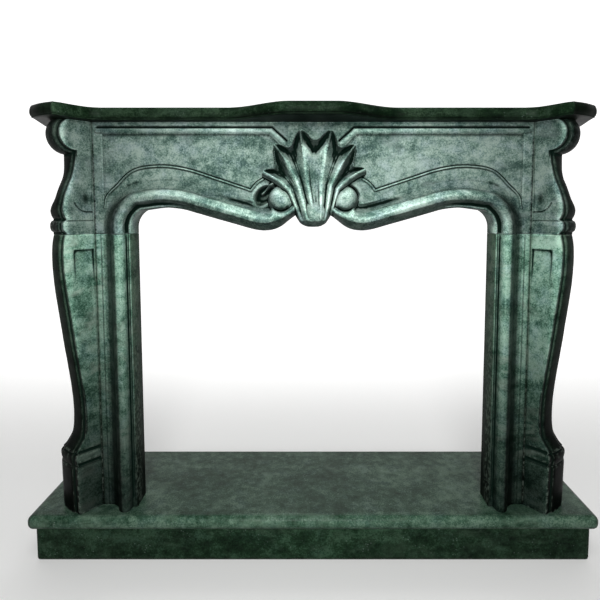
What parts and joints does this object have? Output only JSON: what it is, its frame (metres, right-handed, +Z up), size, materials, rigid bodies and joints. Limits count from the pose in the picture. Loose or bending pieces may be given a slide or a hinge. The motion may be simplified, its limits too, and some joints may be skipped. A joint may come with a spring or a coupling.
{
  "type": "fireplace mantel",
  "caption": "Carved green marble fireplace surround with a bowed shelf, moulded arch, shell crest, canted scroll consoles and a raised boxed hearth.",
  "frame": {"origin": "on the floor under the middle of the whole object: half way between its sides, and half way between the shelf's front and the wall", "axes": "+X to the viewer's right along the shelf, +Y back towards the wall, +Z up. The carved front faces -Y and the wall is the plane y = 0.231 m"},
  "size_m": [1.61, 0.462, 1.271],
  "materials": {
    "shelf_marble": "polished dark green marble",
    "carved_marble": "honed grey-green marble with pale specks, dark in the hollows",
    "upright_marble": "honed green marble with pale veins",
    "hearth_marble": "polished mottled green marble",
    "riser_marble": "polished very dark green marble"
  },
  "bodies": {
    "root": {"mantelshelf": "shelf_marble", "frieze": "carved_marble", "jamb_left": "upright_marble", "jamb_right": "upright_marble", "console_cap_left": "carved_marble", "console_cap_right": "carved_marble", "console_leg_left": "upright_marble", "console_leg_right": "upright_marble", "side_return_left": "upright_marble", "side_return_right": "upright_marble", "hearth_slab": "hearth_marble", "hearth_riser_front": "riser_marble", "hearth_riser_left": "riser_marble", "hearth_riser_right": "riser_marble"}
  },
  "joints": []
}
